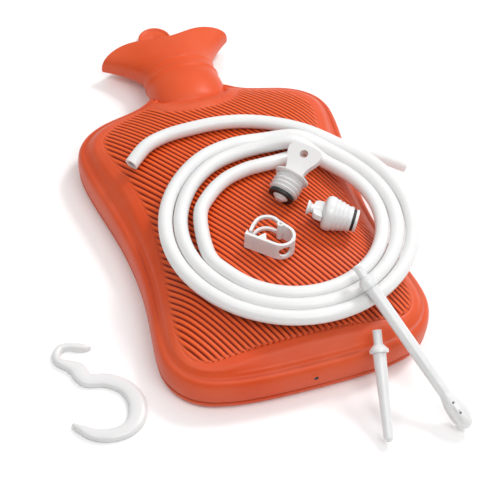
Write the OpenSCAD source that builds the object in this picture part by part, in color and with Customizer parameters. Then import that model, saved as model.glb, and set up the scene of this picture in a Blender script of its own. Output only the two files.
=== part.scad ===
// Hot-water bottle and irrigator kit, laid out on a table: a rubber bottle with its
// filling funnel, a coiled hose, a stopper, a hose connector, a pinch clamp, two nozzles
// and a hanging hook.  Millimetres, +Z up, +Y from the bottle's foot to its funnel.
// The origin is the middle of the bottle's flat back.

/* [Bottle] */
// Width across the hips, near the foot
hip_w = 190; // [185:1:195]
// Width across the waist
waist_w = 174; // [170:1:178]
// Width across the shoulders
shoulder_w = 196; // [192:1:198]
// Height of the side band's upper edge above the table
band_h = 26; // [24:0.5:27]
// Rise of the filled front above its bead
crown_h = 24; // [20:1:26]
// Thickness of the moulded rubber
skin_t = 2.2; // [1.8:0.1:3]

/* [Neck and funnel] */
// Height of the neck's axis above the table
neck_z = 20; // [20:0.5:20.5]
// Bore radius of the threaded ferrule
ferrule_r = 11.8; // [11.6:0.1:12]
// Half width of the funnel's mouth
mouth_half_w = 52; // [48:1:54]
// Radius of the hanging tab
tab_r = 13; // [11:0.5:15]

/* [Hose] */
// Outside diameter of the hose
hose_d = 10; // [9:0.5:10]
// Radius of the outer turn of the coil
coil_r = 84.5; // [82:0.5:86]

/* [Small parts] */
// Outside radius of the stopper's thread
thread_r = 11.4; // [11:0.1:11.6]
// Outside radius of every hose spigot's tube
spigot_r = 3.2; // [3:0.1:3.4]
// Bore radius of the connector and the nozzles
duct_r = 2; // [1.5:0.1:2.2]
// Width of the clamp's strip
clamp_w = 13.5; // [11:0.5:14]
// Thickness of the hanging hook
hook_t = 5; // [4:0.5:7]

/* [Hidden] */
$fn = 64;
foot_y = -138;
neck_root_y = 139;
bead_z = band_h + 3.3;
bead_in = 8.5;
ferrule_y = [130, 160];
funnel_y = 165;
hose_r = hose_d / 2;
hose_rest = hose_r + 0.3;
coil_c = [17, -33];
coil_floor = 53;
wind_in = 10.4;

// ---- curves and lofts ----
function bez(p, t) = pow(1 - t, 3) * p[0] + 3 * t * pow(1 - t, 2) * p[1]
                   + 3 * t * t * (1 - t) * p[2] + t * t * t * p[3];
function unit(v) = v / max(norm(v), 1e-9);
function ramp(x) = let (c = min(max(x, 0), 1)) c * c * (3 - 2 * c);
function mirrored(pts) = [for (i = [len(pts) - 1:-1:0]) if (pts[i].x > 0.01) [-pts[i].x, pts[i].y]];

// Half of the bottle's plan outline, from the middle of the foot to the neck's root.
half_curves = [
    [[0, foot_y], [30, foot_y], [50, foot_y + 1], [64, foot_y + 5]],
    [[64, foot_y + 5], [83, foot_y + 9], [hip_w / 2, foot_y + 24], [hip_w / 2, foot_y + 43]],
    [[hip_w / 2, foot_y + 43], [hip_w / 2, -74], [waist_w / 2, -52], [waist_w / 2, -14]],
    [[waist_w / 2, -14], [waist_w / 2, 30], [shoulder_w / 2, 62], [shoulder_w / 2, 91]],
    [[shoulder_w / 2, 91], [shoulder_w / 2, 109], [86, 121], [68, 127]],
    [[68, 127], [56, 131], [44, 134], [32, neck_root_y]]];
half_outline = [for (c = half_curves, t = [0:1/7:0.99]) bez(c, t)];
outline = concat(half_outline, [[32, neck_root_y], [0, neck_root_y], [-32, neck_root_y]],
                 mirrored(half_outline));
function inset(pts, d) = let (n = len(pts)) [for (i = [0:n - 1])
    let (t = unit(pts[(i + 1) % n] - pts[(i + n - 1) % n])) pts[i] + d * [-t.y, t.x]];
function flat_ring(d, z) = [for (p = inset(outline, d)) [p.x, p.y, z]];
function crown(t) = crown_h * pow(max(1 - pow(t, 2.5), 0), 0.8);
bead_ring = inset(outline, bead_in);
function crown_ring(t, drop) = [for (p = bead_ring) [p.x * t, p.y * t, bead_z + crown(t) - drop]];

// The front's height above the table at a point: its share of the way out to the bead.
function turn_of(p) = let (a = atan2(p.y, p.x)) a < 0 ? a + 360 : a;
right_side = [for (i = [1:len(half_outline)]) let (p = bead_ring[i]) [atan2(p.y, p.x), norm(p)]];
function bead_reach(p) = lookup(atan2(p.y, abs(p.x)), right_side);
function front_z(p) = bead_z + crown(min(norm(p) / bead_reach(p), 1));
// Height of the hose's middle lying there, clear of the front just uphill too.
function rest_z(p) = hose_rest + max(front_z(p), front_z(p * (1 - 2.6 / max(norm(p), 3))) - 0.66);

// Rings of equal count, skinned in order and closed by caps or back onto the first ring.
module loft(rings, looped = false) {
    n = len(rings[0]);
    m = len(rings);
    walls = [for (i = [0:m - (looped ? 1 : 2)], j = [0:n - 1])
        let (k = (i + 1) % m, q = (j + 1) % n) [i * n + j, k * n + j, k * n + q, i * n + q]];
    caps = looped ? [] : [[for (j = [0:n - 1]) j], [for (j = [n - 1:-1:0]) (m - 1) * n + j]];
    polyhedron([for (r = rings, p = r) p], concat(walls, caps), convexity = 8);
}

// A flattened ring about the neck's axis: half width a, heights above and below z.
function neck_ring(y, a, z, up, down, n = 32) = [for (i = [0:n - 1])
    let (f = 360 * i / n) [a * sin(f), y, z + (cos(f) > 0 ? up : down) * cos(f)]];
neck_rings = [neck_ring(117, 17, neck_z + 5, 9, 8), neck_ring(119.5, 22, neck_z + 3, 15, 13),
              neck_ring(124, 26, neck_z + 1, 19.5, 16.5), neck_ring(132, 28, neck_z, 22, 17.5),
              neck_ring(146, 28.5, neck_z, 21.5, 17.5), neck_ring(157, 28.2, neck_z, 20, 17.5),
              neck_ring(funnel_y, 28, neck_z, 19, 17)];

// ---- bottle ----
module neck_envelope() {
    loft(neck_rings);
}
module bottle_back_shell() {
    color("orangered") difference() {
        loft([flat_ring(8, 0), flat_ring(4, 0.6), flat_ring(1.6, 2.6)]);
        neck_envelope();
    }
}
module bottle_edge_band() {
    color("tomato") difference() {
        union() {
            loft([flat_ring(1.6, 2.6), flat_ring(0.4, 7.5), flat_ring(0, 11), flat_ring(-0.2, 15),
                  flat_ring(0, 19),
                  flat_ring(0.9, 22.5), flat_ring(2.6, band_h - 1), flat_ring(4.2, band_h),
                  flat_ring(5, band_h), flat_ring(5, 24), flat_ring(bead_in, 24),
                  flat_ring(3.6, 20), flat_ring(4.6, 2.6)], looped = true);
            translate([0, foot_y - 0.5, 17]) rotate([-90, 0, 0]) cylinder(h = 9, r = 4);
        }
        neck_envelope();
        translate([0, foot_y - 2, 17]) rotate([-90, 0, 0]) cylinder(h = 7.5, r = 1.6);
    }
}
module bottle_front_shell() {
    color("orangered") difference() {
        loft(concat([for (t = [0.06, 0.4, 0.65, 0.82, 0.93, 1]) crown_ring(t, skin_t)],
                    [flat_ring(bead_in, 24), flat_ring(5, 24), flat_ring(5.1, band_h + 0.6),
                     flat_ring(6.4, bead_z - 0.6)],
                    [for (t = [1, 0.97, 0.93, 0.87, 0.78, 0.65, 0.5, 0.3, 0.06]) crown_ring(t, 0)]));
        neck_envelope();
    }
}
module along_neck(y0, y1, r) {
    translate([0, y0, neck_z]) rotate([-90, 0, 0]) cylinder(h = y1 - y0, r = r);
}
module neck_sleeve() {
    color("orangered") difference() {
        neck_envelope();
        along_neck(100, 200, ferrule_r + 0.2);
        along_neck(ferrule_y[0], ferrule_y[1], ferrule_r + 3.2);
        along_neck(ferrule_y[1], ferrule_y[1] + 3, ferrule_r + 4.6);
        along_neck(ferrule_y[1] + 3, 200, ferrule_r + 2.6);
    }
}
module neck_ferrule() {
    color("ivory") difference() {
        union() {
            along_neck(ferrule_y[0], ferrule_y[1], ferrule_r + 3.2);
            along_neck(ferrule_y[1], ferrule_y[1] + 3, ferrule_r + 4.6);
        }
        along_neck(ferrule_y[0] - 1, ferrule_y[1] + 4, ferrule_r);
    }
}
// The mouth's edge: swept back at the tips, highest at the two ears, dipped in the middle.
function mouth_y(f) = let (s = abs(sin(f)))
    197 + 9 * pow(sin(180 * min(s, 0.98) / 1.36), 2) + (cos(f) > 0 ? -1 : 6) * (1 - s);
function funnel_ring(v, t, n = 48) =
    let (a = 28 + (mouth_half_w - 28) * pow(v, 1.6), up = 19 + 3 * v, down = 17 - 7.5 * v, z = neck_z - 8 * v)
    [for (i = [0:n - 1]) let (f = 360 * i / n, k = cos(f))
        [(a - t) * sin(f), funnel_y + (mouth_y(f) - funnel_y) * v,
         z + ((k > 0 ? up : down) - t) * sign(k) * pow(abs(k), 1 - 0.4 * v)]];
module filling_funnel() {
    color("orangered")
        loft(concat([for (v = [0, 0.2, 0.4, 0.6, 0.8, 1]) funnel_ring(v, 0)],
                    [for (v = [1, 0.8, 0.6, 0.4, 0.2, 0]) funnel_ring(v, 2.8 - 0.6 * v)]), looped = true);
}
module hanging_tab() {
    y = 228;
    color("orangered") difference() {
        union() {
            translate([0, y, 1.5]) cylinder(h = 3, r = tab_r);
            translate([0, y, 1.5]) rotate_extrude() translate([tab_r - 2.4, 0]) square([2.4, 4]);
            translate([-9, mouth_y(180) + 0.3, 1.5]) cube([18, y - 10 - mouth_y(180), 3]);
        }
        translate([0, y, 3.3]) cylinder(h = 2, r = 1.8);
    }
}

// ---- hose ----
// Shrinking of the coil's radius: one step per turn, taken between the side and the top.
function coil_radius(s) = coil_r - wind_in * (ramp((s - 0.7) / 0.35) + ramp((s - 1.7) / 0.35))
                          - 11.5 * ramp((s - 2.58) / 0.33);
function coil_xy(s) = coil_c + coil_radius(s) * [cos(48 - 360 * s), sin(48 - 360 * s)];
start_xy = [[-69, 56], [-55, 66], [-38, 72], [-19, 73], [0, 72], [20, 68], [40, 59], [58, 46]];
end_line = [[14, 19.6, 58], [29, 21, 57], [44, 25, 54.5], [58, 30.6, 50], [72, 35, 44], [85, 37.5, 37.5],
            [97, 38, 31], [109, 36, 26], [121, 32, 21.5], [132, 26, 17.5]];
end_xyz = [for (p = end_line) [p.x, p.y, max(p.z, p.x < 80 ? rest_z([p.x, p.y]) + 0.15 : 0)]];
function segment_gap(p, a, b) = let (d = b - a, t = min(max((p - a) * d / (d * d), 0), 1))
    norm(p - a - t * d);
function under_gap(p) = min([for (i = [0:len(end_xyz) - 2])
    segment_gap(p, [end_xyz[i].x, end_xyz[i].y], [end_xyz[i + 1].x, end_xyz[i + 1].y])]);
function under_z(p) = lookup(p.x, [for (q = end_xyz) [q.x, q.z]]);
// A turn lies on the front or bridges level past its edge, and humps over the hose's end.
function lie_z(p) = let (a = rest_z(p), b = coil_floor) (a + b + sqrt(pow(a - b, 2) + 4)) / 2;
function over_z(p) = let (z = lie_z(p), lift = max(under_z(p) + hose_d + 0.6 - z, 0))
    z + lift * exp(-pow(under_gap(p) / 13, 3));
route = concat([for (p = start_xy) [p.x, p.y, p.x < -10 ? rest_z(p) + (p.x < -50 ? 0.75 : 0.2) : over_z(p)]],
               [for (s = [0:0.05:2.64]) let (p = coil_xy(s)) [p.x, p.y, over_z(p)]],
               [for (s = [2.69:0.05:2.85]) let (p = coil_xy(s)) [p.x, p.y, lie_z(p)]],
               end_xyz);
module hose() {
    sides = 8;
    n = len(route);
    color("white") loft([for (i = [0:n - 1])
        let (w = unit(route[min(i + 1, n - 1)] - route[max(i - 1, 0)]),
             u = unit(cross([0, 0, 1], w)), v = cross(w, u))
        [for (k = [0:sides - 1]) route[i] + hose_r * (u * cos(360 * k / sides) + v * sin(360 * k / sides))]]);
}

// ---- placing of the loose parts ----
// Puts a part made along +Z on the line from p to q.
module along(p, q) {
    d = q - p;
    translate(p) rotate([0, acos(d.z / norm(d)), atan2(d.y, d.x)]) children();
}
module washer(z, h, r, bore) {
    translate([0, 0, z]) difference() {
        cylinder(h = h, r = r);
        translate([0, 0, -1]) cylinder(h = h + 2, r = bore);
    }
}
module thread_profile(z, crests, pitch, core, crest) {
    for (i = [0:crests - 1]) translate([0, 0, z + i * pitch]) {
        cylinder(h = pitch / 2, r1 = core, r2 = crest);
        translate([0, 0, pitch / 2]) cylinder(h = pitch / 2, r1 = crest, r2 = core);
    }
}

// ---- stopper ----
// A tapered screw plug lying on the front, its paddle raised on the inner turn of the hose.
stopper_from = [16, -16.5, 62.2];
stopper_to = [44.6, 8.6, 76.6];
stopper_stem_r = 3;
paddle_t = 5;
paddle_side = [[7, 15], [7, 22], [8.2, 26], [11, 31], [12.2, 34.5], [12.4, 37], [11.4, 39.4], [9.4, 41],
               [5, 41.8]];
module stopper_body() {
    color("ivory") along(stopper_from, stopper_to) difference() {
        union() {
            translate([0, 0, -2.4]) cylinder(h = 5.4, r = stopper_stem_r);
            translate([0, 0, 2.6]) cylinder(h = 13, r1 = thread_r - 2.8, r2 = thread_r - 1.8);
            thread_profile(3, 4, 3, thread_r - 2.4, thread_r - 0.6);
            translate([0, 0, 15]) cylinder(h = 1.2, r1 = thread_r - 1, r2 = thread_r + 1);
            translate([0, 0, 16.2]) cylinder(h = 1, r = thread_r + 1);
            rotate([90, 0, 90]) translate([0, 0, -paddle_t / 2]) linear_extrude(paddle_t)
                polygon(concat(paddle_side, [for (i = [len(paddle_side) - 1:-1:0])
                    [-paddle_side[i].x, paddle_side[i].y]]));
        }
        translate([-6, 0, 35]) rotate([0, 90, 0]) cylinder(h = 12, r = 3);
    }
}
module stopper_washer() {
    color("black") along(stopper_from, stopper_to) washer(0, 2.6, thread_r - 2.2, stopper_stem_r);
}
module stopper_end_cap() {
    color("ivory") along(stopper_from, stopper_to) difference() {
        intersection() {
            translate([0, 0, -2.4]) cylinder(h = 2.4, r = 5.6);
            translate([0, 0, 4.6]) sphere(r = 7.2);
        }
        translate([0, 0, -5]) cylinder(h = 6, r = stopper_stem_r);
    }
}

// ---- connector ----
// A hose spigot with finger wings, running into a bulb and a tapered screw plug.
connector_from = [28.9, -33.4, 65.4];
connector_to = [60.1, -51.9, 59.8];
core_r = 5;
module connector_body() {
    color("white") along(connector_from, connector_to) difference() {
        union() {
            cylinder(h = 1.2, r = spigot_r + 1.8);
            translate([0, 0, 1.2]) cylinder(h = 1.4, r1 = spigot_r + 1.8, r2 = spigot_r + 0.3);
            cylinder(h = 20, r = spigot_r);
            translate([0, 0, 11]) cylinder(h = 24.4, r = core_r);
            for (a = [75, 255]) rotate([90, 0, a]) translate([0, 0, -1.9]) linear_extrude(3.8)
                polygon([[0, 4.4], [5.6, 4.6], [8.2, 5.4], [9.4, 7.2], [9.8, 9.4], [10, 11.4], [0, 11.4]]);
        }
        translate([0, 0, -1]) cylinder(h = 50, r = duct_r);
    }
}
module connector_collar() {
    w = thread_r;
    color("white") along(connector_from, connector_to) rotate_extrude()
        polygon([[core_r, 11.5], [w - 2.6, 11.6], [w - 0.9, 12.3], [w + 0.2, 13.6], [w + 0.6, 15],
                 [w + 0.4, 18], [w - 0.7, 19.4],
                 [w - 0.2, 20.9], [w - 1.5, 22.2], [w - 1, 23.8], [w - 2.3, 25.2], [w - 1.8, 26.8],
                 [w - 3, 28.2], [w - 2.5, 29.4], [w - 2.7, 31.4], [core_r, 31.4]]);
}
module connector_washer() {
    color("black") along(connector_from, connector_to) washer(31.4, 2, thread_r - 3.8, core_r);
}
module connector_end_disc() {
    color("white") along(connector_from, connector_to) washer(33.4, 2, thread_r - 3.6, core_r);
}

// ---- pinch clamp ----
// Made flat with its strip's edges up and down, then stood on the bottle's front.
clamp_at = [-18.4, -45.2, 53];
clamp_turn = -44;
strip_t = 2;
bend_r = 9;
bend_x = 21;
hinge_r = 1.4;
function arc(c, r, a0, a1, n) = [for (i = [0:n])
    let (a = a0 + (a1 - a0) * i / n) c + r * [cos(a), sin(a)]];
function strip(path, t) = let (n = len(path), side = [for (i = [0:n - 1])
        let (d = unit(path[min(i + 1, n - 1)] - path[max(i - 1, 0)])) [-d.y, d.x] * t / 2])
    concat([for (i = [0:n - 1]) path[i] + side[i]], [for (i = [n - 1:-1:0]) path[i] - side[i]]);
base_path = concat([[0, 0]], arc([bend_x, bend_r], bend_r, -90, 0, 8));
arm_path = concat(arc([bend_x, bend_r], bend_r, 0, 75, 6),
                  arc([9.4, 12.6], 8.8, 58, 178, 10), [[0.5, 9], [1.2, 3.2]]);
module clamp_place() {
    translate(clamp_at) rotate([0, 0, clamp_turn]) children();
}
module clamp_base() {
    color("white") clamp_place() difference() {
        union() {
            linear_extrude(clamp_w) polygon(strip(base_path, strip_t));
            translate([bend_x + bend_r, bend_r, 0]) cylinder(h = clamp_w, r = hinge_r);
            linear_extrude(clamp_w) polygon([[8, 0.9], [10.6, 5.4], [11.8, 5.4], [14, 0.9]]);
            linear_extrude(clamp_w) polygon([[-1, -1], [-1, 3.4], [0.1, 1.9], [1.4, 0.9], [2, -0.5]]);
        }
        translate([bend_x + 4, bend_r - 5, clamp_w / 2]) rotate([0, 90, -32]) cylinder(h = 12, r = 4.4);
    }
}
module clamp_arm() {
    color("white") clamp_place() difference() {
        union() {
            linear_extrude(clamp_w) polygon(strip(arm_path, strip_t));
            translate([16.6, bend_r * 2 + 0.2, 0]) cylinder(h = clamp_w, r = 2.2);
        }
        translate([bend_x + bend_r, bend_r, -1]) cylinder(h = clamp_w + 2, r = hinge_r + 0.05);
        translate([-4, 10.6, clamp_w / 2]) rotate([0, 90, 0]) cylinder(h = 8, r = 4.7);
        for (a = [84:10:174]) translate([9.4, 12.6, clamp_w / 2]) rotate([0, 0, a])
            rotate([0, 90, 0]) translate([0, 0, 5]) cylinder(h = 7, r = 4.7);
        translate([16.6, bend_r * 2 + 0.2, clamp_w - 1.5]) cylinder(h = 2, r = 1);
    }
}

// ---- nozzles ----
long_from = [37.9, -99.8, 74.3];
long_to = [84, -197, 7];
long_len = norm(long_to - long_from);
module long_nozzle_spigot() {
    color("white") along(long_from, long_to) difference() {
        union() {
            cylinder(h = 1.4, r1 = spigot_r - 0.4, r2 = spigot_r + 0.3);
            cylinder(h = 14, r = spigot_r - 0.2);
            translate([0, 0, 9]) cylinder(h = 3, r1 = spigot_r, r2 = 6);
            translate([0, 0, 12]) cylinder(h = 5, r = 6);
        }
        translate([0, 0, -1]) cylinder(h = 20, r = duct_r);
    }
}
module long_nozzle_shaft() {
    color("white") along(long_from, long_to) difference() {
        translate([0, 0, 17]) cylinder(h = long_len - 17 - 26, r = 4.3);
        translate([0, 0, 16]) cylinder(h = long_len, r = duct_r);
    }
}
module long_nozzle_head() {
    head_z = long_len - 26;
    color("white") along(long_from, long_to) difference() {
        translate([0, 0, head_z]) rotate_extrude() polygon([[0, 0], [4.3, 0], [4.45, 1.5], [5, 4], [5.8, 7],
            [6.4, 10], [6.7, 13], [6.7, 16], [6.5, 20], [5.6, 24], [3.8, 26.6], [1.5, 27.7], [0, 28]]);
        translate([0, 0, head_z - 1]) cylinder(h = 24, r = duct_r);
        for (a = [0:45:315]) rotate([0, 0, a]) translate([7.4, 0, head_z + 3]) cylinder(h = 23, r = 1.5);
        for (a = [22.5:90:360], z = [8, 16]) rotate([0, 0, a]) translate([0, 0, head_z + z])
            rotate([0, 90, 0]) cylinder(h = 8, r = 0.8);
    }
}
short_from = [43, -131.6, 43.2];
short_to = [31, -192.5, 4.4];
short_len = norm(short_to - short_from);
module short_nozzle_spigot() {
    color("white") along(short_from, short_to) difference() {
        union() {
            cylinder(h = 1.2, r1 = spigot_r - 0.5, r2 = spigot_r);
            cylinder(h = 11, r = spigot_r - 0.2);
            translate([0, 0, 9.5]) cylinder(h = 3.5, r1 = spigot_r, r2 = 6.4);
            translate([0, 0, 13]) cylinder(h = 2.2, r = 6.4);
        }
        translate([0, 0, -1]) cylinder(h = 20, r = duct_r);
    }
}
module short_nozzle_shaft() {
    color("white") along(short_from, short_to) difference() {
        union() {
            translate([0, 0, 15.2]) cylinder(h = short_len - 15.2 - 3, r1 = 4.4, r2 = 3.2);
            translate([0, 0, short_len - 3]) sphere(r = 3.2);
        }
        translate([0, 0, 14]) cylinder(h = short_len, r = duct_r - 0.3);
    }
}

// ---- hanging hook ----
// The hook's middle line from its small tip to its large one: x, y and half the width there.
hook_line = [[-131.5, -58, 0.9], [-135.5, -57.4, 2.2], [-140.5, -55.5, 2.7], [-145.5, -53.4, 2.5],
             [-150.3, -53, 2.5], [-154, -55.8, 2.6], [-155.8, -60.3, 2.5], [-154.6, -65, 2.8],
             [-149.6, -69.2, 3.8], [-145, -74, 5.4], [-143.6, -79.5, 5.4], [-141, -84.4, 5],
             [-136, -86.2, 4.7], [-130.5, -87.6, 4.9], [-124, -91.6, 5.1], [-118, -98.4, 5.4],
             [-115, -107.5, 5.6], [-115.6, -117, 5.9], [-120, -126, 5.7], [-128.5, -131.4, 4.9],
             [-139.3, -131.8, 4.5], [-148.6, -128.2, 4], [-155, -122.4, 2.8], [-159.5, -116.8, 1.3]];
function smooth_at(p, i, t) =
    let (a = p[max(i - 1, 0)], b = p[i], c = p[i + 1], d = p[min(i + 2, len(p) - 1)])
    b + t / 2 * (c - a + t * (2 * a - 5 * b + 4 * c - d + t * (3 * b - a - 3 * c + d)));
hook_path = concat([for (i = [0:len(hook_line) - 2], t = [0:1/3:0.99]) smooth_at(hook_line, i, t)],
                   [hook_line[len(hook_line) - 1]]);
module hanging_hook() {
    n = len(hook_path);
    mid = [for (p = hook_path) [p.x, p.y]];
    side = [for (i = [0:n - 1]) let (d = unit(mid[min(i + 1, n - 1)] - mid[max(i - 1, 0)]))
        [-d.y, d.x] * hook_path[i].z];
    color("white") linear_extrude(hook_t)
        polygon(concat([for (i = [0:n - 1]) mid[i] + side[i]], [for (i = [n - 1:-1:0]) mid[i] - side[i]]));
}

bottle_back_shell();
bottle_edge_band();
bottle_front_shell();
neck_sleeve();
neck_ferrule();
filling_funnel();
hanging_tab();
hose();
stopper_body();
stopper_washer();
stopper_end_cap();
connector_body();
connector_collar();
connector_washer();
connector_end_disc();
clamp_base();
clamp_arm();
long_nozzle_head();
long_nozzle_shaft();
long_nozzle_spigot();
short_nozzle_shaft();
short_nozzle_spigot();
hanging_hook();
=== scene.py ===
"""Look of the hot-water bottle and irrigator kit.

Shapes are worked out in millimetres in the row frame (+Y from foot to funnel, +Z up) and
scaled to metres where each mesh is made.
"""

import logging
import math
from dataclasses import dataclass, field
from enum import Enum
from typing import Sequence

import bpy
import numpy as np
from mathutils import Matrix, Vector


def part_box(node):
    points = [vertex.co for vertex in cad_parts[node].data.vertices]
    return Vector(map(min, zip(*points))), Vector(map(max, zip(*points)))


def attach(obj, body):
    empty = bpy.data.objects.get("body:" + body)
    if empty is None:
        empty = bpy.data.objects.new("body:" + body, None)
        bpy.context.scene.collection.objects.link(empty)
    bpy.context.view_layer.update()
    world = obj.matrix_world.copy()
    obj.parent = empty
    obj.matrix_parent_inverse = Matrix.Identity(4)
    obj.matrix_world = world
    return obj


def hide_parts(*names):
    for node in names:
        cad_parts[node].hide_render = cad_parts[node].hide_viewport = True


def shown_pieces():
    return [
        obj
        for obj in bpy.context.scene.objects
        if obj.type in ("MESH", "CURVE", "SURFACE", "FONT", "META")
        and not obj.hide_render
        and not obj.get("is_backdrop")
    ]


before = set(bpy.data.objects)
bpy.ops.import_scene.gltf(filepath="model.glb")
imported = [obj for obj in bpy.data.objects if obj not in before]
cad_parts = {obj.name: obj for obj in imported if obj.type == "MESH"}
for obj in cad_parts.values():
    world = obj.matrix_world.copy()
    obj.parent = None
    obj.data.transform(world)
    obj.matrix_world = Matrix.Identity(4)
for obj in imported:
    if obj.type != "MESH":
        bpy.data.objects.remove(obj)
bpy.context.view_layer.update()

LOG = logging.getLogger("kit")
MM = 0.001
Points = np.ndarray


# ---- curves and meshes ----


def bezier(points: Sequence[Sequence[float]], count: int) -> Points:
    """Samples a cubic Bezier curve.

    Args:
        points: its four control points.
        count: how many samples, the first at the start and none at the end.

    Returns:
        An array of count points.
    """
    p = np.asarray(points, float)
    t = np.arange(count)[:, None] / count
    return (1 - t) ** 3 * p[0] + 3 * t * (1 - t) ** 2 * p[1] + 3 * t**2 * (1 - t) * p[2] + t**3 * p[3]


def smooth_line(points: Points, per: int, closed: bool = False) -> Points:
    """Passes a Catmull-Rom curve through points.

    Args:
        points: rows of any width.
        per: samples in each span.
        closed: whether the last point joins the first.

    Returns:
        The sampled curve.
    """
    p = np.asarray(points, float)
    n = len(p)
    out = []
    for i in range(n if closed else n - 1):
        pick = [(i + k) % n if closed else min(max(i + k, 0), n - 1) for k in (-1, 0, 1, 2)]
        a, b, c, d = p[pick]
        for t in np.arange(per) / per:
            out.append(b + t / 2 * (c - a + t * (2 * a - 5 * b + 4 * c - d + t * (3 * b - a - 3 * c + d))))
    if not closed:
        out.append(p[-1])
    return np.array(out)


def ramp(x: Points | float) -> Points | float:
    """Smooth step from 0 at 0 to 1 at 1."""
    c = np.clip(x, 0, 1)
    return c * c * (3 - 2 * c)


def inset(outline: Points, by: float) -> Points:
    """Moves each point of a closed anticlockwise outline inwards.

    Args:
        outline: rows of x, y.
        by: how far, in millimetres.

    Returns:
        The moved outline.
    """
    tangent = np.roll(outline, -1, 0) - np.roll(outline, 1, 0)
    tangent /= np.maximum(np.linalg.norm(tangent, axis=1, keepdims=True), 1e-9)
    normal = np.stack([-tangent[:, 1], tangent[:, 0]], 1)
    return outline + by * normal


def distance_inside(xy: Points, outline: Points) -> Points:
    """Measures how far points lie inside a closed outline.

    Args:
        xy: the points.
        outline: the outline's corners in order.

    Returns:
        One distance for each point, negative outside.
    """
    best = np.full(len(xy), 1e9)
    inside = np.zeros(len(xy), bool)
    for a, b in zip(outline, np.roll(outline, -1, 0)):
        ab, ap = b - a, xy - a
        t = np.clip(ap @ ab / (ab @ ab), 0, 1)
        best = np.minimum(best, np.linalg.norm(ap - t[:, None] * ab, axis=1))
        if a[1] != b[1]:
            crosses = (a[1] > xy[:, 1]) != (b[1] > xy[:, 1])
            inside ^= crosses & (xy[:, 0] < (b[0] - a[0]) * (xy[:, 1] - a[1]) / (b[1] - a[1]) + a[0])
    return np.where(inside, best, -best)


def make_mesh(name: str, points: Points, faces: Sequence[Sequence[int]],
              smooth_angle: float) -> bpy.types.Object:
    """Makes a mesh object from millimetre points.

    Args:
        name: the piece's name.
        points: rows of x, y, z in millimetres.
        faces: rows of point numbers.
        smooth_angle: edges sharper than this stay sharp, in degrees.

    Returns:
        The linked object.
    """
    mesh = bpy.data.meshes.new(name)
    mesh.from_pydata((np.asarray(points, float) * MM).tolist(), [], [list(map(int, f)) for f in faces])
    mesh.validate()
    mesh.shade_smooth()
    mesh.set_sharp_from_angle(angle=math.radians(smooth_angle))
    obj = bpy.data.objects.new(name, mesh)
    bpy.context.scene.collection.objects.link(obj)
    return obj


def loft_faces(count: int, around: int, caps: bool, looped: bool) -> list[list[int]]:
    """Lists the faces that skin rings laid one after another.

    Args:
        count: how many rings.
        around: points in each ring.
        caps: whether the first and last rings are closed by a face.
        looped: whether the last ring joins the first.

    Returns:
        Rows of point numbers.
    """
    faces = []
    for i in range(count if looped else count - 1):
        k = (i + 1) % count
        for j in range(around):
            q = (j + 1) % around
            faces.append([i * around + j, i * around + q, k * around + q, k * around + j])
    if caps and not looped:
        faces.append(list(range(around - 1, -1, -1)))
        faces.append([(count - 1) * around + j for j in range(around)])
    return faces


def loft(name: str, rings: Sequence[Points], caps: bool = True, looped: bool = False,
         smooth_angle: float = 40) -> bpy.types.Object:
    """Makes a skinned mesh of equal rings, with outward normals.

    Args:
        name: the piece's name.
        rings: rings of points in millimetres, all of one count.
        caps: whether the end rings are closed.
        looped: whether the last ring joins the first.
        smooth_angle: edges sharper than this stay sharp, in degrees.

    Returns:
        The linked object.
    """
    points = np.concatenate([np.asarray(r, float) for r in rings])
    obj = make_mesh(name, points, loft_faces(len(rings), len(rings[0]), caps, looped), smooth_angle)
    outward(obj)
    return obj


def outward(obj: bpy.types.Object) -> None:
    """Turns a closed mesh's faces so that its volume is positive.

    Args:
        obj: the piece.
    """
    mesh = obj.data
    mesh.calc_loop_triangles()
    volume = 0.0
    for tri in mesh.loop_triangles:
        a, b, c = (mesh.vertices[i].co for i in tri.vertices)
        volume += a.dot(b.cross(c))
    if volume < 0:
        mesh.flip_normals()


def tube_rings(path: Points, radius: float, sides: int) -> list[Points]:
    """Lays rings of a round tube along a path.

    Args:
        path: the tube's middle line.
        radius: the tube's radius.
        sides: points in each ring.

    Returns:
        One ring for each point of the path.
    """
    ahead = np.gradient(path, axis=0)
    ahead /= np.linalg.norm(ahead, axis=1, keepdims=True)
    across = np.cross([0, 0, 1], ahead)
    across /= np.linalg.norm(across, axis=1, keepdims=True)
    over = np.cross(ahead, across)
    turn = np.linspace(0, 2 * math.pi, sides, endpoint=False)
    return [path[i] + radius * (np.outer(np.cos(turn), across[i]) + np.outer(np.sin(turn), over[i]))
            for i in range(len(path))]


def revolve(name: str, profile: Sequence[Sequence[float]], start: Points, towards: Points, sides: int = 64,
            smooth_angle: float = 40) -> bpy.types.Object:
    """Makes a turned piece.

    Args:
        name: the piece's name.
        profile: rows of radius and place along the axis, in millimetres; a closed loop if it
            doesn't begin and end on the axis.
        start: the axis's zero, in millimetres.
        towards: a point further along the axis.
        sides: points round the axis.
        smooth_angle: edges sharper than this stay sharp, in degrees.

    Returns:
        The linked object.
    """
    start, towards = np.asarray(start, float), np.asarray(towards, float)
    axis = (towards - start) / np.linalg.norm(towards - start)
    side = np.cross([0.0, 0.0, 1.0], axis)
    side = side / np.linalg.norm(side) if np.linalg.norm(side) > 1e-6 else np.array([1.0, 0, 0])
    up = np.cross(axis, side)
    turn = np.linspace(0, 2 * math.pi, sides, endpoint=False)
    rim = np.outer(np.cos(turn), side) + np.outer(np.sin(turn), up)
    rings = [start + axis * z + max(r, 0.01) * rim for r, z in profile]
    closed = min(profile[0][0], profile[-1][0]) > 0.02
    return loft(name, rings, caps=not closed, looped=closed, smooth_angle=smooth_angle)


# ---- finishes ----


class Look(Enum):
    RED_RUBBER = "red_rubber"
    HOSE = "hose_rubber"
    IVORY = "ivory_plastic"
    WHITE = "white_plastic"
    BLACK = "black_rubber"


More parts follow.
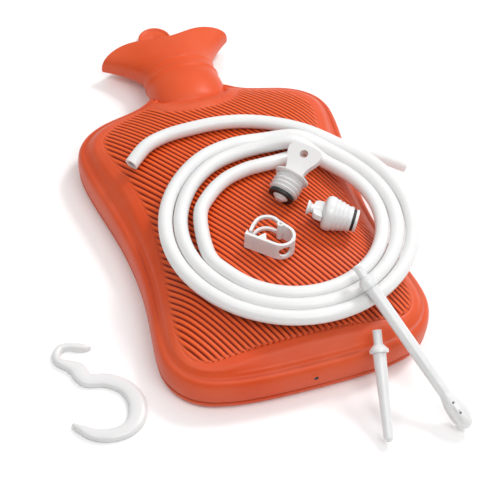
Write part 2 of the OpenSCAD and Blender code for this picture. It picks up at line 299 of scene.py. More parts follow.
@dataclass(frozen=True)
class Finish:
    """A plain surface: its colour, gloss and fine unevenness."""

    look: Look
    color: tuple[float, float, float]
    roughness: float
    bump_mm: float = 0.05
    grain: float = 900.0
    subsurface: float = 0.0
    coat: float = 0.0
    mottle: float = 0.06
    cloud_scale: float = 28.0
    soak_m: tuple[float, float, float] = (0.004, 0.003, 0.0025)

    def build(self) -> bpy.types.Material:
        """Makes the node material.

        Returns:
            The finish, clouded in colour and finely uneven.
        """
        material = bpy.data.materials.new(self.look.value)
        material.use_nodes = True
        nodes, links = material.node_tree.nodes, material.node_tree.links
        shader = nodes["Principled BSDF"]
        shader.inputs["Roughness"].default_value = self.roughness
        shader.inputs["Coat Weight"].default_value = self.coat
        shader.inputs["Coat Roughness"].default_value = 0.12
        shader.inputs["Subsurface Weight"].default_value = self.subsurface
        shader.inputs["Subsurface Radius"].default_value = self.soak_m
        shader.inputs["Subsurface Scale"].default_value = 1.0
        place = nodes.new("ShaderNodeTexCoord")
        cloud = nodes.new("ShaderNodeTexNoise")
        cloud.inputs["Scale"].default_value = self.cloud_scale
        cloud.inputs["Detail"].default_value = 3.0
        links.new(place.outputs["Object"], cloud.inputs["Vector"])
        shade = nodes.new("ShaderNodeMix")
        shade.data_type = "RGBA"
        shade.inputs["A"].default_value = (*[c * (1 - self.mottle) for c in self.color], 1)
        shade.inputs["B"].default_value = (*[min(c * (1 + self.mottle), 1) for c in self.color], 1)
        links.new(cloud.outputs["Fac"], shade.inputs["Factor"])
        links.new(shade.outputs["Result"], shader.inputs["Base Color"])
        fine = nodes.new("ShaderNodeTexNoise")
        fine.inputs["Scale"].default_value = self.grain
        links.new(place.outputs["Object"], fine.inputs["Vector"])
        bump = nodes.new("ShaderNodeBump")
        bump.inputs["Strength"].default_value = 0.25
        bump.inputs["Distance"].default_value = self.bump_mm * MM
        links.new(fine.outputs["Fac"], bump.inputs["Height"])
        links.new(bump.outputs["Normal"], shader.inputs["Normal"])
        return material


@dataclass(frozen=True)
class RubberFinish(Finish):
    """Moulded rubber with painted shade in its grooves, painted light on its ribs, and a pale bloom with
    painted highlight on its plain parts.
    """

    # painted shade: the dark colour laid into the grooves, the side's creases and the funnel's lip rim
    painted_shade: tuple[float, float, float] = (0.15, 0.004, 0.001)
    # painted light: the lighter orange laid over the ribbed panel, standing in for its lit rib crests
    crest: tuple[float, float, float] = (0.86, 0.125, 0.024)
    # pale bloom and painted highlight, laid in clouded patches on the plain rubber
    bloom_and_highlight: tuple[float, float, float] = (0.74, 0.22, 0.12)
    # how much of the painted crest light the ribs take
    crest_share: float = 0.75
    bloom_and_highlight_scale: float = 16.0
    bloom_and_highlight_share: float = 0.30
    sheen: float = 0.3

    def build(self) -> bpy.types.Material:
        """Makes the node material, which reads the mesh's painted-shade and plain attributes.

        Returns:
            The plain finish with its painted shade, painted crest light and pale bloom with painted highlight
            added.
        """
        material = super().build()
        nodes, links = material.node_tree.nodes, material.node_tree.links
        shader = nodes["Principled BSDF"]
        base = shader.inputs["Base Color"].links[0].from_socket
        place = nodes.new("ShaderNodeTexCoord")
        rib, panel = nodes.new("ShaderNodeAttribute"), nodes.new("ShaderNodeAttribute")
        rib.attribute_name, panel.attribute_name = "painted_shade", "plain"
        # painted shade: the dark colour is mixed in where the painted-shade attribute is set
        dark = nodes.new("ShaderNodeMix")
        dark.data_type = "RGBA"
        dark.inputs["B"].default_value = (*self.painted_shade, 1)
        links.new(rib.outputs["Fac"], dark.inputs["Factor"])
        # painted light: the less plain the rubber, the more of the lighter crest colour it takes
        crest_light = nodes.new("ShaderNodeMath")
        crest_light.operation = "MULTIPLY_ADD"
        crest_light.inputs[1].default_value = -self.crest_share
        crest_light.inputs[2].default_value = self.crest_share
        links.new(panel.outputs["Fac"], crest_light.inputs[0])
        lit = nodes.new("ShaderNodeMix")
        lit.data_type = "RGBA"
        lit.inputs["B"].default_value = (*self.crest, 1)
        links.new(crest_light.outputs["Value"], lit.inputs["Factor"])
        links.new(base, lit.inputs["A"])
        links.new(lit.outputs["Result"], dark.inputs["A"])
        shader.inputs["Specular IOR Level"].default_value = self.sheen
        # pale bloom and painted highlight: clouded pale patches mixed into the plain rubber
        cloud = nodes.new("ShaderNodeTexNoise")
        cloud.inputs["Scale"].default_value = self.bloom_and_highlight_scale
        cloud.inputs["Detail"].default_value = 4.0
        links.new(place.outputs["Object"], cloud.inputs["Vector"])
        spread = nodes.new("ShaderNodeMapRange")
        spread.inputs["From Min"].default_value = 0.35
        spread.inputs["From Max"].default_value = 0.75
        spread.inputs["To Max"].default_value = self.bloom_and_highlight_share
        links.new(cloud.outputs["Fac"], spread.inputs["Value"])
        amount = nodes.new("ShaderNodeMath")
        amount.operation = "MULTIPLY"
        links.new(spread.outputs["Result"], amount.inputs[0])
        links.new(panel.outputs["Fac"], amount.inputs[1])
        pale = nodes.new("ShaderNodeMix")
        pale.data_type = "RGBA"
        pale.inputs["B"].default_value = (*self.bloom_and_highlight, 1)
        links.new(amount.outputs["Value"], pale.inputs["Factor"])
        links.new(dark.outputs["Result"], pale.inputs["A"])
        links.new(pale.outputs["Result"], shader.inputs["Base Color"])
        return material


FINISHES: tuple[Finish, ...] = (
    RubberFinish(Look.RED_RUBBER, (0.66, 0.066, 0.009), 0.42, bump_mm=0.12, grain=420.0, mottle=0.10),
    Finish(Look.HOSE, (0.765, 0.765, 0.76), 0.34, bump_mm=0.04, subsurface=0.15, coat=0.15),
    Finish(Look.IVORY, (0.70, 0.69, 0.685), 0.38, bump_mm=0.06, subsurface=0.1),
    Finish(Look.WHITE, (0.73, 0.73, 0.73), 0.28, bump_mm=0.03, subsurface=0.1, coat=0.2),
    Finish(Look.BLACK, (0.012, 0.012, 0.012), 0.5, bump_mm=0.05),
)


@dataclass
class Palette:
    """Makes each finish once and puts it on pieces."""

    made: dict[Look, bpy.types.Material] = field(default_factory=dict)

    def __post_init__(self) -> None:
        """Makes the finishes."""
        for finish in FINISHES:
            self.made[finish.look] = finish.build()

    def paint(self, obj: bpy.types.Object, look: Look) -> bpy.types.Object:
        """Gives a piece a finish.

        Args:
            obj: the piece.
            look: its kind of surface.

        Returns:
            The same piece.
        """
        obj.data.materials.clear()
        obj.data.materials.append(self.made[look])
        return obj


def soften(obj: bpy.types.Object, width_mm: float) -> bpy.types.Object:
    """Rounds a piece's sharp edges with a modifier.

    Args:
        obj: the piece.
        width_mm: how far the rounding reaches from each edge.

    Returns:
        The same piece.
    """
    bevel = obj.modifiers.new("round", "BEVEL")
    bevel.width = width_mm * MM
    bevel.segments = 3
    bevel.limit_method = "ANGLE"
    bevel.angle_limit = math.radians(35)
    bevel.harden_normals = False
    return obj


# ---- bottle ----


@dataclass
class BottleShape:
    """The bottle body's plan outline, its side profile and its filled front."""

    samples: int = 34
    hip: float = 95.0
    waist: float = 87.0
    bead_in: float = 8.5
    bead_z: float = 29.3
    crown_h: float = 24.0

    def __post_init__(self) -> None:
        """Draws the two outlines and measures how far the bead stands from the middle."""
        low, high = (np.array(v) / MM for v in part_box("bottle_edge_band"))
        self.foot, self.shoulder = low[1] + 0.2, high[0] - 0.2
        y, w = self.foot, self.waist
        shared = [
            [(0, y), (30, y), (50, y + 1), (64, y + 5)],
            [(64, y + 5), (83, y + 9), (self.hip, y + 24), (self.hip, y + 43)],
            [(self.hip, y + 43), (self.hip, -74), (w, -52), (w, -14)],
            [(w, -14), (w, 30), (self.shoulder, 62), (self.shoulder, 91)],
            [(self.shoulder, 91), (self.shoulder, 109), (86, 121), (68, 127)],
        ]
        root = [*shared, [(68, 127), (56, 131), (44, 134), (32, 139)]]
        fillet = [*shared, [(68, 127), (55, 131), (44, 132.5), (36, 138)],
                  [(36, 138), (32.5, 140.5), (29, 143), (24, 145)]]
        self.plain = self.closed(root, [(32, 139), (0, 139), (-32, 139)])
        self.outline = self.closed(fillet, [(24, 145), (12, 145), (0, 145), (-12, 145), (-24, 145)])
        ring = inset(self.plain, self.bead_in)
        half = ring[1 : self.samples * len(root) + 1]
        angles, reaches = np.arctan2(half[:, 1], half[:, 0]), np.linalg.norm(half, axis=1)
        order = np.argsort(angles)
        self.angles, self.reaches = angles[order], reaches[order]

    def closed(self, curves: Sequence[Sequence[Sequence[float]]], top: Sequence[Sequence[float]]) -> Points:
        """Joins a whole outline from its right half.

        Args:
            curves: the right half's Bezier curves, from the foot to the neck.
            top: the points across the top, from right to left.

        Returns:
            The outline, anticlockwise from the middle of the foot.
        """
        half = np.concatenate([bezier(c, self.samples) for c in curves])
        left = half[half[:, 0] > 0.01][::-1] * [-1, 1]
        return np.concatenate([half, np.array(top, float), left])

    def share(self, xy: Points) -> Points:
        """How far out each point lies, 0 in the middle and 1 at the bead."""
        angle = np.arctan2(xy[:, 1], np.abs(xy[:, 0]))
        return np.linalg.norm(xy, axis=1) / np.interp(angle, self.angles, self.reaches)

    def height(self, xy: Points) -> Points:
        """Height of the smooth front above the table."""
        t = np.clip(self.share(xy), 0, 1)
        return self.bead_z + self.crown_h * np.maximum(1 - t**2.5, 0) ** 0.8


@dataclass
class RibPanel:
    """The ribbed panel of the front: slanting parallel ribs inside a rounded border."""

    pitch: float = 3.5
    slant: float = -60.0
    steps: int = 9
    rise: float = -0.1
    sink: float = 1.3
    tuck: float = 0.55
    corners: tuple[tuple[float, float], ...] = (
        (0, -116.5), (30, -117), (56, -118), (69, -117), (78, -110), (81.5, -96), (80, -72), (74.5, -40),
        (70.5, -5), (71, 32), (76, 62), (80, 84), (78, 98), (70, 108), (58, 115.5), (46, 121),
        (37, 124), (32, 119), (26, 111), (14, 105.5), (0, 104),
    )

    def __post_init__(self) -> None:
        """Draws the panel's border and sets the ribs' direction."""
        right = np.array(self.corners, float)
        left = right[1:-1][::-1] * [-1, 1]
        self.border = smooth_line(np.concatenate([right, left]), 4, closed=True)
        turn = math.radians(self.slant)
        self.along = np.array([math.cos(turn), math.sin(turn)])
        self.across = np.array([-math.sin(turn), math.cos(turn)])

    def rib(self, xy: Points) -> Points:
        """Works out the ribs' section.

        Args:
            xy: plan points.

        Returns:
            0 for a point at the bottom of a furrow between ribs and 1 for one on a rib.
        """
        place = (xy @ self.across) / self.pitch
        off = np.abs(place - np.round(place)) * self.pitch
        crest = 1 - 0.10 * (1 - ramp(off / (self.pitch / 2)))
        return ramp((off - 0.18) / 0.8) * crest

    def build(self, shape: BottleShape) -> bpy.types.Object:
        """Makes the panel as a fine sheet laid on the front, tucked under it at the border.

        Args:
            shape: the body that it lies on.

        Returns:
            The linked object.
        """
        reach = np.abs(self.border).max() * 1.25
        us = np.arange(-reach, reach, 2.0)
        vs = np.arange(-reach, reach, self.pitch / self.steps)
        grid = us[:, None, None] * self.along + vs[None, :, None] * self.across
        flat = grid.reshape(-1, 2)
        inside = np.full(len(flat), -9.0)
        near = ((flat > self.border.min(0) - 2) & (flat < self.border.max(0) + 2)).all(1)
        inside[near] = distance_inside(flat[near], self.border)
        fade = ramp((inside + 0.5) / 3.5)
        rib = self.rib(flat)
        relief = (self.rise * rib - self.sink * (1 - rib)) * fade
        z = shape.height(flat) + relief - self.tuck * (1 - ramp((inside + 1) / 1.6))
        keep = inside > -1
        number = np.full(len(flat), -1)
        number[keep] = np.arange(keep.sum())
        index = np.arange(len(flat)).reshape(len(us), len(vs))
        quads = np.stack([index[:-1, :-1], index[1:, :-1], index[1:, 1:], index[:-1, 1:]], -1).reshape(-1, 4)
        quads = number[quads[keep[quads].all(1)]]
        obj = make_mesh("ribbed_panel", np.column_stack([flat, z])[keep], quads, 180)
        # painted shade in the grooves between the ribs, fading out at the panel's border
        set_shade(obj, (1 - rib[keep]) * fade[keep], 1 - fade[keep])
        return obj


def set_shade(obj: bpy.types.Object, painted_shade: Points | float, plain: Points | float) -> None:
    """Stores how much painted shade each point takes and how plain it is, for the rubber's finish.

    Args:
        obj: the piece.
        painted_shade: 1 where the point is darkened with painted shade, as in its grooves, and 0 where it is
            not.
        plain: 1 on smooth rubber and 0 on the ribs.
    """
    count = len(obj.data.vertices)
    for name, values in (("painted_shade", painted_shade), ("plain", plain)):
        layer = obj.data.attributes.new(name, "FLOAT", "POINT")
        layer.data.foreach_set("value", np.broadcast_to(values, (count,)).astype(np.float32).copy())


@dataclass
class Bottle:
    """The rubber bottle with its neck, funnel and tab."""

    palette: Palette
    shape: BottleShape = field(default_factory=BottleShape)
    panel: RibPanel = field(default_factory=RibPanel)
    around: int = 96
    part_plain: float = 0.8
    eye_z: float = 17.0
    neck_z: float = 20.0
    neck_drop: float = 3.5
    throat_y: float = 165.0
    throat_half: float = 28.0
    mouth_y: float = 197.0
    flare: float = 24.0
    funnel_fall: float = 8.0
    left_sweep: float = 5.5
    wall: float = 2.8
    # painted shade: how dark the funnel's lip rim is painted
    lip_painted_shade: float = 0.55
    # heights of the two painted shade lines along the side
    low_groove_z: float = 7.5
    high_groove_z: float = 26.65
    # how far in from the outline and how high, from the back to the front's bead
    side: tuple[tuple[float, float], ...] = (
        (16, 0.3), (9, 0), (7, 0.15), (4.4, 0.5), (2.8, 1.3), (1.6, 2.6), (0.9, 4.2), (0.6, 5.8),
        (0.7, 6.6), (1.3, 7.1), (1.5, 7.5), (1.3, 7.9), (0.5, 8.5), (0.2, 9.8), (0, 12), (-0.15, 15),
        (-0.1, 18), (0.15, 20.6), (0.5, 22.4), (1.1, 23.9), (1.9, 25.1), (2.8, 25.95), (3.7, 26.45),
        (4.5, 26.6), (5.2, 26.65), (5.8, 26.85), (6.4, 27.35), (7, 28.1), (7.6, 28.8), (8.1, 29.25))
    # place along the bottle, half width, rise of the middle, and reach above and below it
    neck_rows: tuple[tuple[float, ...], ...] = (
        (116.5, 14, 5, 7, 8), (117.4, 18.5, 4.2, 11.5, 9), (119.5, 22.3, 3, 15.4, 13),
        (124, 26, 1, 19.6, 16.5), (132, 28, 0, 22, 17.5), (140, 28.6, 0, 22, 17.5),
        (146, 28.5, 0, 21.4, 17.5), (151, 28.3, 0, 20.4, 17.4), (157, 28.2, 0, 19.9, 17.4),
        (165, 28, 0, 19, 17))
    # place along the bottle and radius, from the funnel's floor down through the ferrule
    throat: tuple[tuple[float, float], ...] = (
        (163.2, 17.5), (163.2, 16.7), (159.8, 16.7), (159.8, 15.2), (129.8, 15.2), (129.8, 12.2), (121, 12))

    def build(self) -> None:
        """Makes every piece of the bottle."""
        skin = self.skin()
        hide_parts("bottle_back_shell", "bottle_edge_band", "bottle_front_shell")
        pieces = [skin, self.panel.build(self.shape), self.neck(), self.tab(), self.eye()]
        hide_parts("neck_sleeve", "filling_funnel")
        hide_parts("hanging_tab")
        for piece in pieces:
            # pieces without painted shade of their own get none
            if "painted_shade" not in piece.data.attributes:
                set_shade(piece, 0.0, self.part_plain)
            self.palette.paint(piece, Look.RED_RUBBER)
            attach(piece, "bottle")
        self.palette.paint(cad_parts["neck_ferrule"], Look.IVORY)
        # painted shade: a thin black disc on the foot stands in for the dark inside of the eye's hole
        dot = revolve("eye_hole_painted_shade", [(0, 0), (1.7, 0), (1.7, 0.3), (0, 0.3)],
                      (0, self.shape.foot - 0.05, self.eye_z), (0, self.shape.foot - 5, self.eye_z), 24)
        self.palette.paint(dot, Look.BLACK)
        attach(dot, "bottle")

    def skin(self) -> bpy.types.Object:
        """Makes the back, the side with its two grooves, and the front sunk under the ribbed panel.

        Returns:
            The linked object.
        """
        rings = []
        for d, z in self.side:
            xy = inset(self.shape.outline, d)
            rings.append(np.column_stack([xy, z - (z > 22) * self.under_neck(xy)]))
        edge = inset(self.shape.outline, self.shape.bead_in)
        steps = np.concatenate([[0.999, 0.994], np.linspace(0.985, 0.68, 36), np.linspace(0.66, 0.06, 14)])
        for t in steps:
            xy = edge * t
            depth = distance_inside(xy, self.panel.border)
            sunk = 1.9 * ramp((depth + 0.6) / 2.4) - 0.9 * np.exp(-(((depth + 6) / 3) ** 2))
            rings.append(np.column_stack([xy, self.shape.height(xy) - sunk - self.under_neck(xy)]))
        obj = loft("bottle_skin", rings, smooth_angle=75)
        # painted shade along the side's two grooves, the lower one and the crease under the bead; the front
        # takes none
        heights = np.repeat([z for _, z in self.side] + [math.inf] * len(steps), len(edge))
        grooves = 0.5 * np.exp(-(((heights - self.low_groove_z) / 0.7) ** 2))
        grooves += 0.3 * np.exp(-(((heights - self.high_groove_z) / 0.2) ** 2))
        set_shade(obj, grooves, 1.0)
        return obj

    def under_neck(self, xy: Points) -> Points:
        """How far the front drops where the neck covers it."""
        return self.neck_drop * ramp((27 - np.abs(xy[:, 0])) / 5) * ramp((xy[:, 1] - 123) / 6)

    def neck_ring(self, y: float, half: float, z: float, up: float, down: float) -> Points:
        """Lays one flattened ring about the neck's axis.

        Args:
            y: its place along the bottle.
            half: half its width.
            z: its middle's height.
            up: how far it reaches above the middle.
            down: how far it reaches below the middle.

        Returns:
            The ring's points.
        """
        turn = np.linspace(0, 2 * math.pi, self.around, endpoint=False)
        rise = np.where(np.cos(turn) > 0, up, down)
        return np.stack([half * np.sin(turn), np.full(self.around, y), z + rise * np.cos(turn)], 1)

    def mouth(self, turn: Points) -> Points:
        """Works out the funnel's edge: longest at the ears, swept back at the tips and in the middle.

        Args:
            turn: angles round the funnel, from its top.

        Returns:
            The edge's place along the bottle at each angle.
        """
        s = np.abs(np.sin(turn))
        dip = np.where(np.cos(turn) > 0, -1.0, 6.0)
        return self.mouth_y + 9 * np.sin(math.pi * np.minimum(s, 0.98) / 1.36) ** 2 + dip * (1 - s)

    def funnel_ring(self, v: float, inwards: float) -> Points:
        """Lays one ring of the funnel.

        Args:
            v: its place, from 0 at the neck to 1 at the mouth.
            inwards: how far it stands inside the funnel's skin.

        Returns:
            The ring's points.
        """
        turn = np.linspace(0, 2 * math.pi, self.around, endpoint=False)
        reach = min(v, 1.0)
        half = self.throat_half + self.flare * reach**1.6
        up, blunt = np.cos(turn), ramp((np.abs(np.sin(turn)) - 0.5) / 0.5)
        rise = np.where(up > 0, 19 + reach + 2 * reach * np.abs(up) ** 8, 17 - 7.5 * reach)
        high = np.sign(up) * np.abs(up) ** (1 - 0.3 * reach * blunt)
        ridge = 0.8 * math.exp(-(((v - 0.04) / 0.03) ** 2))
        edge = self.mouth(turn) - self.left_sweep * np.maximum(-np.sin(turn), 0)
        return np.stack([(half - inwards + ridge) * np.sin(turn), self.throat_y + (edge - self.throat_y) * v,
                         self.neck_z - self.funnel_fall * reach + (rise - inwards + ridge) * high], 1)

    def neck(self) -> bpy.types.Object:
        """Makes the neck and funnel in one skin, hollow as far as the ferrule.

        Returns:
            The linked object.
        """
        rows = np.array(self.neck_rows, float)
        rows[:, 2] += self.neck_z
        outside = []
        for y, half, mid, up, down in smooth_line(rows, 5)[:-1]:
            ridge = 0.85 * math.exp(-(((y - 156) / 1.4) ** 2))
            outside.append(self.neck_ring(y, half + ridge, mid, up + ridge, down + ridge))
        outside += [self.funnel_ring(v, 0) for v in np.linspace(0, 1, 26)]
        lip = [self.funnel_ring(v, t) for v, t in ((1.012, 0.4), (1.018, 1.1), (1.012, 1.8))]
        inside = [self.funnel_ring(v, self.wall - 0.6 * v) for v in np.linspace(1, 0, 18)]
        inside += [self.neck_ring(y, r, self.neck_z, r, r) for y, r in self.throat]
        skin = loft("neck_and_funnel", outside + lip + inside, smooth_angle=50)
        # painted shade: the lip's rings are darkened as a dark outline
        dark = [0.0] * len(outside) + [self.lip_painted_shade] * len(lip) + [0.0] * len(inside)
        set_shade(skin, np.repeat(dark, self.around), self.part_plain)
        return skin

    def tab(self) -> bpy.types.Object:
        """Makes the round hanging tab, rimmed and dimpled, on its short stem.

        Returns:
            The tab's disc; the stem is dressed here.
        """
        low, high = (np.array(v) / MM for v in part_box("hanging_tab"))
        r = (high[0] - low[0]) / 2
        mid = np.array([(low[0] + high[0]) / 2, high[1] - r, low[2]])
        profile = [(0, 0), (r - 0.8, 0), (r - 0.2, 0.4), (r, 1.2), (r, 3), (r - 0.4, 3.7), (r - 1.3, 4),
                   (r - 2.2, 3.7), (r - 2.8, 3), (r - 3.6, 2.9), (2.2, 2.9), (1.7, 2.6), (1.4, 1.9), (0, 1.7)]
        disc = revolve("hanging_tab_disc", profile, mid, mid + [0, 0, 9], 72, 60)
        rings = []
        for y, w, h in ((low[1], 12, 2.8), (mid[1] - r + 2, 8.5, 2.8), (mid[1] - r + 7, 7, 2.6)):
            z = low[2]
            rings.append(np.array([(-w, y, z), (w, y, z), (w, y, z + h), (-w, y, z + h)]))
        stem = loft("hanging_tab_stem", rings)
        set_shade(stem, 0.0, self.part_plain)
        self.palette.paint(stem, Look.RED_RUBBER)
        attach(soften(stem, 0.8), "bottle")
        return disc

    def eye(self) -> bpy.types.Object:
        """Makes the raised rim of the small hole in the foot.

        Returns:
            The linked object.
        """
        y = self.shape.foot
        profile = [(1.6, -0.6), (1.6, 0.3), (1.9, 0.6), (2.5, 0.6), (3.1, 0.3), (3.8, -0.3), (3.8, -0.8)]
        return revolve("eye_rim", profile, (0, y, self.eye_z), (0, y - 5, self.eye_z), 40)


# ---- hose ----


@dataclass
class Hose:
    """The coiled hose, both of its ends bare."""

    palette: Palette
    shape: BottleShape
    radius: float = 5.0
    bore: float = 3.1
    sides: int = 28
    open_rings: int = 14
    coil_r: float = 84.5
    step_in: float = 10.4
    last_step_in: float = 11.5
    bridge_z: float = 53.0
    centre: tuple[float, float] = (17.0, -33.0)
    lead_in: tuple[tuple[float, float], ...] = (
        (-69, 56), (-55, 66), (-38, 72), (-19, 73), (0, 72), (20, 68), (40, 59), (58, 46))
    way_out: tuple[tuple[float, float, float], ...] = (
        (14, 19.6, 58), (29, 21, 57), (44, 25, 54.5), (58, 30.6, 50), (72, 35, 44), (85, 37.5, 37.5),
        (97, 38, 31), (109, 36, 26), (121, 32, 21.5), (132, 26, 17.5))

    def __post_init__(self) -> None:
        """Lifts the way out clear of the front."""
        out = np.array(self.way_out, float)
        low = np.where(out[:, 0] < 80, self.resting(out[:, :2]) + 0.15, 0)
        out[:, 2] = np.maximum(out[:, 2], low)
        self.out = out

    def resting(self, xy: Points) -> Points:
        """Works out the height of the hose's middle on the front, clear of the slope just uphill too.

        Args:
            xy: plan points.

        Returns:
            One height for each point.
        """
        uphill = xy * (1 - 2.6 / np.maximum(np.linalg.norm(xy, axis=1, keepdims=True), 3))
        return self.radius + 0.3 + np.maximum(self.shape.height(xy), self.shape.height(uphill) - 0.66)

    def coil(self, s: Points) -> Points:
        """Lays the coil in plan, each turn inside the last.

        Args:
            s: how many turns have been made, for each point.

        Returns:
            The plan points.
        """
        r = self.coil_r - self.step_in * sum(ramp((s - 0.7 - k) / 0.35) for k in range(2))
        r = r - self.last_step_in * ramp((s - 2.58) / 0.33)
        turn = np.radians(48 - 360 * s)
        return np.array(self.centre) + r[:, None] * np.stack([np.cos(turn), np.sin(turn)], 1)

    def lying(self, xy: Points) -> Points:
        """Height of the hose lying on the front, or level where it bridges past its edge."""
        a, b = self.resting(xy), self.bridge_z
        return (a + b + np.sqrt((a - b) ** 2 + 4)) / 2

    def humped(self, xy: Points) -> Points:
        """Works out the height where a turn passes over the hose's own way out.

        Args:
            xy: plan points of a turn.

        Returns:
            One height for each point.
        """
        out = self.out
        gap = np.full(len(xy), 1e9)
        for a, b in zip(out[:-1, :2], out[1:, :2]):
            t = np.clip((xy - a) @ (b - a) / ((b - a) @ (b - a)), 0, 1)
            gap = np.minimum(gap, np.linalg.norm(xy - a - t[:, None] * (b - a), axis=1))
        z = self.lying(xy)
        under = np.interp(xy[:, 0], out[:, 0], out[:, 2])
        lift = np.maximum(under + 2 * self.radius + 0.6 - z, 0)
        return z + lift * np.exp(-((gap / 13) ** 3))

    def route(self) -> Points:
        """Lays the hose's middle line.

        Returns:
            Its points, from the end on the ribs to the end past the right edge.
        """
        lead = np.array(self.lead_in, float)
        on_front = self.resting(lead) + np.where(lead[:, 0] < -50, 0.75, 0.2)
        lead_z = np.where(lead[:, 0] < -10, on_front, self.humped(lead))
        first, last = self.coil(np.arange(0, 2.641, 0.05)), self.coil(np.arange(2.69, 2.851, 0.05))
        knots = np.concatenate([np.column_stack([lead, lead_z]), np.column_stack([first, self.humped(first)]),
                                np.column_stack([last, self.lying(last)]), self.out])
        return smooth_line(knots, 5)

    def build(self) -> None:
        path = self.route()
        inside = tube_rings(path, self.bore, self.sides)
        lip = (self.bore, self.bore + 0.3, self.radius - 0.35)
        rings = inside[self.open_rings : 0 : -1]
        rings += [tube_rings(path[:2], r, self.sides)[0] for r in lip]
        rings += tube_rings(path, self.radius, self.sides)
        rings += [tube_rings(path[-2:], r, self.sides)[1] for r in lip[::-1]]
        rings += inside[-2 : -self.open_rings : -1]
        tube = loft("hose_tube", rings, smooth_angle=50)
        self.palette.paint(tube, Look.HOSE)
        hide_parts("hose")
        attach(tube, "hose")


# ---- loose pieces ----


@dataclass
class Hook:
    """The flat-backed hanging hook with a rounded front."""

    palette: Palette
    spine: tuple[tuple[float, float, float], ...] = (
        (-131.5, -58, 0.9), (-135.5, -57.4, 2.2), (-140.5, -55.5, 2.7), (-145.5, -53.4, 2.5),
        (-150.3, -53, 2.5), (-154, -55.8, 2.6), (-155.8, -60.3, 2.5), (-154.6, -65, 2.8),
        (-149.6, -69.2, 3.8), (-145, -74, 5.4), (-143.6, -79.5, 5.4), (-141, -84.4, 5),
        (-136, -86.2, 4.7), (-130.5, -87.6, 4.9), (-124, -91.6, 5.1), (-118, -98.4, 5.4),
        (-115, -107.5, 5.6), (-115.6, -117, 5.9), (-120, -126, 5.7), (-128.5, -131.4, 4.9),
        (-139.3, -131.8, 4.5), (-148.6, -128.2, 4), (-155, -122.4, 2.8), (-159.5, -116.8, 1.3))

    def build(self) -> None:
        """Makes the hook by carrying a rounded section along its middle line."""
        low, high = (np.array(v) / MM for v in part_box("hanging_hook"))
        line = smooth_line(np.array(self.spine), 6)
        ahead = np.gradient(line[:, :2], axis=0)
        ahead /= np.linalg.norm(ahead, axis=1, keepdims=True)
        side = np.stack([-ahead[:, 1], ahead[:, 0]], 1)
        top = high[2] - low[2]
        turn = np.linspace(0, math.pi, 13)
        across = np.concatenate([[0.94, 1.0], np.cos(turn), [-1.0, -0.94]])
        up = np.concatenate([[0, 0.06], 0.5 + 0.5 * np.sin(turn) ** 0.8, [0.06, 0]])
        rings = []
        for (x, y, half), s in zip(line, side):
            xy = np.array([x, y]) + np.outer(across * half, s)
            thick = top * min(1.0, 0.45 + half / 5)
            rings.append(np.column_stack([xy, low[2] + up * thick]))
        hook = loft("hook_moulding", rings, smooth_angle=60)
        self.palette.paint(hook, Look.WHITE)
        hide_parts("hanging_hook")
        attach(hook, "hook")


@dataclass
class Fittings:
    """The stopper, connector, clamp and nozzles, on the CAD's own solids."""

    palette: Palette
    weld_mm: float = 0.01
    # each node's finish and how far its edges are rounded
    looks: tuple[tuple[str, Look, float], ...] = (
        ("stopper_body", Look.IVORY, 0.2), ("stopper_washer", Look.BLACK, 0.3),
        ("stopper_end_cap", Look.IVORY, 0.2), ("connector_body", Look.WHITE, 0.4),
        ("connector_collar", Look.WHITE, 0.5),
        ("connector_washer", Look.BLACK, 0.25), ("connector_end_disc", Look.WHITE, 0.3),
        ("clamp_base", Look.WHITE, 0.3), ("clamp_arm", Look.WHITE, 0.3),
        ("long_nozzle_head", Look.WHITE, 0), ("long_nozzle_shaft", Look.WHITE, 0),
        ("long_nozzle_spigot", Look.WHITE, 0.3), ("short_nozzle_shaft", Look.WHITE, 0),
        ("short_nozzle_spigot", Look.WHITE, 0.3))

    def build(self) -> None:
        """Gives every fitting its finish and softened edges."""
        for name, look, width in self.looks:
            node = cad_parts[name]
            self.palette.paint(node, look)
            weld = node.modifiers.new("join", "WELD")
            weld.merge_threshold = self.weld_mm * MM
            if width:
                soften(node, width)


# ---- studio ----


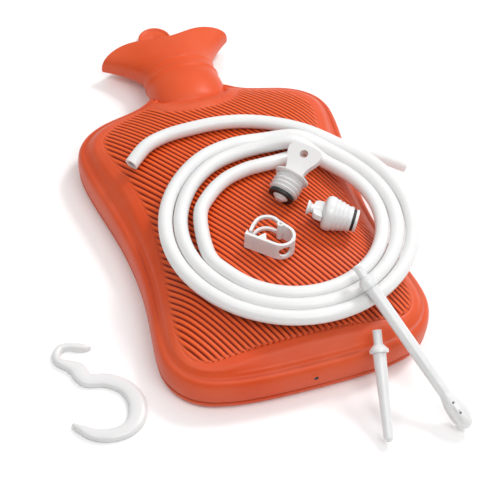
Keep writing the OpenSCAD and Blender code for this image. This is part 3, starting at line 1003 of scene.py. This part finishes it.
@dataclass(frozen=True)
class Softbox:
    name: str
    place: tuple[float, float, float]
    size: float
    watts: float

    def build(self) -> None:
        data = bpy.data.lights.new(self.name, "AREA")
        data.shape, data.size, data.energy = "SQUARE", self.size, self.watts
        lamp = bpy.data.objects.new(self.name, data)
        lamp.location = self.place
        lamp.rotation_euler = (Vector((0, 0, 0.03)) - Vector(self.place)).to_track_quat("-Z", "Y").to_euler()
        bpy.context.scene.collection.objects.link(lamp)
        lamp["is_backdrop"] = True


@dataclass
class Studio:
    """Camera, floor and soft light."""

    eye: tuple[float, float, float] = (-0.2955, -0.7558, 0.8953)
    ahead: tuple[float, float, float] = (0.24568, 0.62313, -0.74253)
    right: tuple[float, float, float] = (0.94573, -0.32286, 0.03678)
    lens: float = 121.6
    floor_size: float = 12.0
    floor_grey: float = 0.92
    floor_glow: float = 0.06
    bright_side: tuple[float, float, float] = (0.25, 0.2, 0.94)
    dim: float = 0.08
    bright: float = 0.8
    fade: tuple[float, float] = (-0.25, 0.95)
    boxes: tuple[Softbox, ...] = (
        Softbox("key", (0.85, 0.42, 1.3), 0.36, 10.5),
        Softbox("overhead", (0.15, -0.75, 1.15), 0.6, 5.0),
        Softbox("sheen", (-0.62, -0.22, 1.2), 0.3, 1.8))

    def camera(self) -> None:
        """Makes the camera, turned slightly about its own axis."""
        data = bpy.data.cameras.new("view")
        data.lens, data.sensor_width = self.lens, 36.0
        data.clip_start, data.clip_end = 0.05, 20.0
        cam = bpy.data.objects.new("view", data)
        ahead = Vector(self.ahead).normalized()
        right = Vector(self.right)
        right = (right - right.dot(ahead) * ahead).normalized()
        up = right.cross(ahead)
        cam.matrix_world = Matrix.Translation(self.eye) @ Matrix((right, up, -ahead)).transposed().to_4x4()
        bpy.context.scene.collection.objects.link(cam)
        bpy.context.scene.camera = cam

    def floor(self) -> None:
        """A plain pale floor that runs past every view."""
        bpy.ops.mesh.primitive_plane_add(size=self.floor_size, location=(0, 0, -0.4 * MM))
        ground = bpy.context.object
        ground.name = "floor"
        material = bpy.data.materials.new("floor")
        material.use_nodes = True
        shader = material.node_tree.nodes["Principled BSDF"]
        shader.inputs["Base Color"].default_value = (*[self.floor_grey] * 3, 1)
        shader.inputs["Roughness"].default_value = 0.9
        shader.inputs["Specular IOR Level"].default_value = 0.0
        shader.inputs["Emission Color"].default_value = (1, 1, 1, 1)
        shader.inputs["Emission Strength"].default_value = self.floor_glow
        ground.data.materials.append(material)
        ground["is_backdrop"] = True

    def surround(self) -> None:
        """A tent that is bright above and behind and dim low down in front."""
        world = bpy.data.worlds.new("surround")
        world.use_nodes = True
        nodes, links = world.node_tree.nodes, world.node_tree.links
        place = nodes.new("ShaderNodeTexCoord")
        aim = nodes.new("ShaderNodeVectorMath")
        aim.operation = "DOT_PRODUCT"
        aim.inputs[1].default_value = Vector(self.bright_side).normalized()
        links.new(place.outputs["Generated"], aim.inputs[0])
        fade = nodes.new("ShaderNodeMapRange")
        fade.interpolation_type = "SMOOTHSTEP"
        fade.inputs["From Min"].default_value, fade.inputs["From Max"].default_value = self.fade
        fade.inputs["To Min"].default_value = self.dim
        fade.inputs["To Max"].default_value = self.bright
        links.new(aim.outputs["Value"], fade.inputs["Value"])
        links.new(fade.outputs["Result"], nodes["Background"].inputs["Strength"])
        nodes["Background"].inputs["Color"].default_value = (1, 1, 1, 1)
        bpy.context.scene.world = world
        bpy.context.scene.view_settings.view_transform = "Standard"

    def build(self) -> None:
        """Makes the whole studio."""
        self.camera()
        self.floor()
        for box in self.boxes:
            box.build()
        self.surround()


def write_sizes() -> None:
    """Brings the view layer up to date."""
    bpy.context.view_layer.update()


def main() -> None:
    """Builds the studio and every piece in order."""
    logging.basicConfig(level=logging.INFO, format="%(message)s")
    Studio().build()
    palette = Palette()
    bottle = Bottle(palette)
    Hose(palette, bottle.shape).build()
    bottle.build()
    Hook(palette).build()
    Fittings(palette).build()
    write_sizes()
    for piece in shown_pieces():
        LOG.info("piece %s", piece.name)


if __name__ == "__main__":
    main()
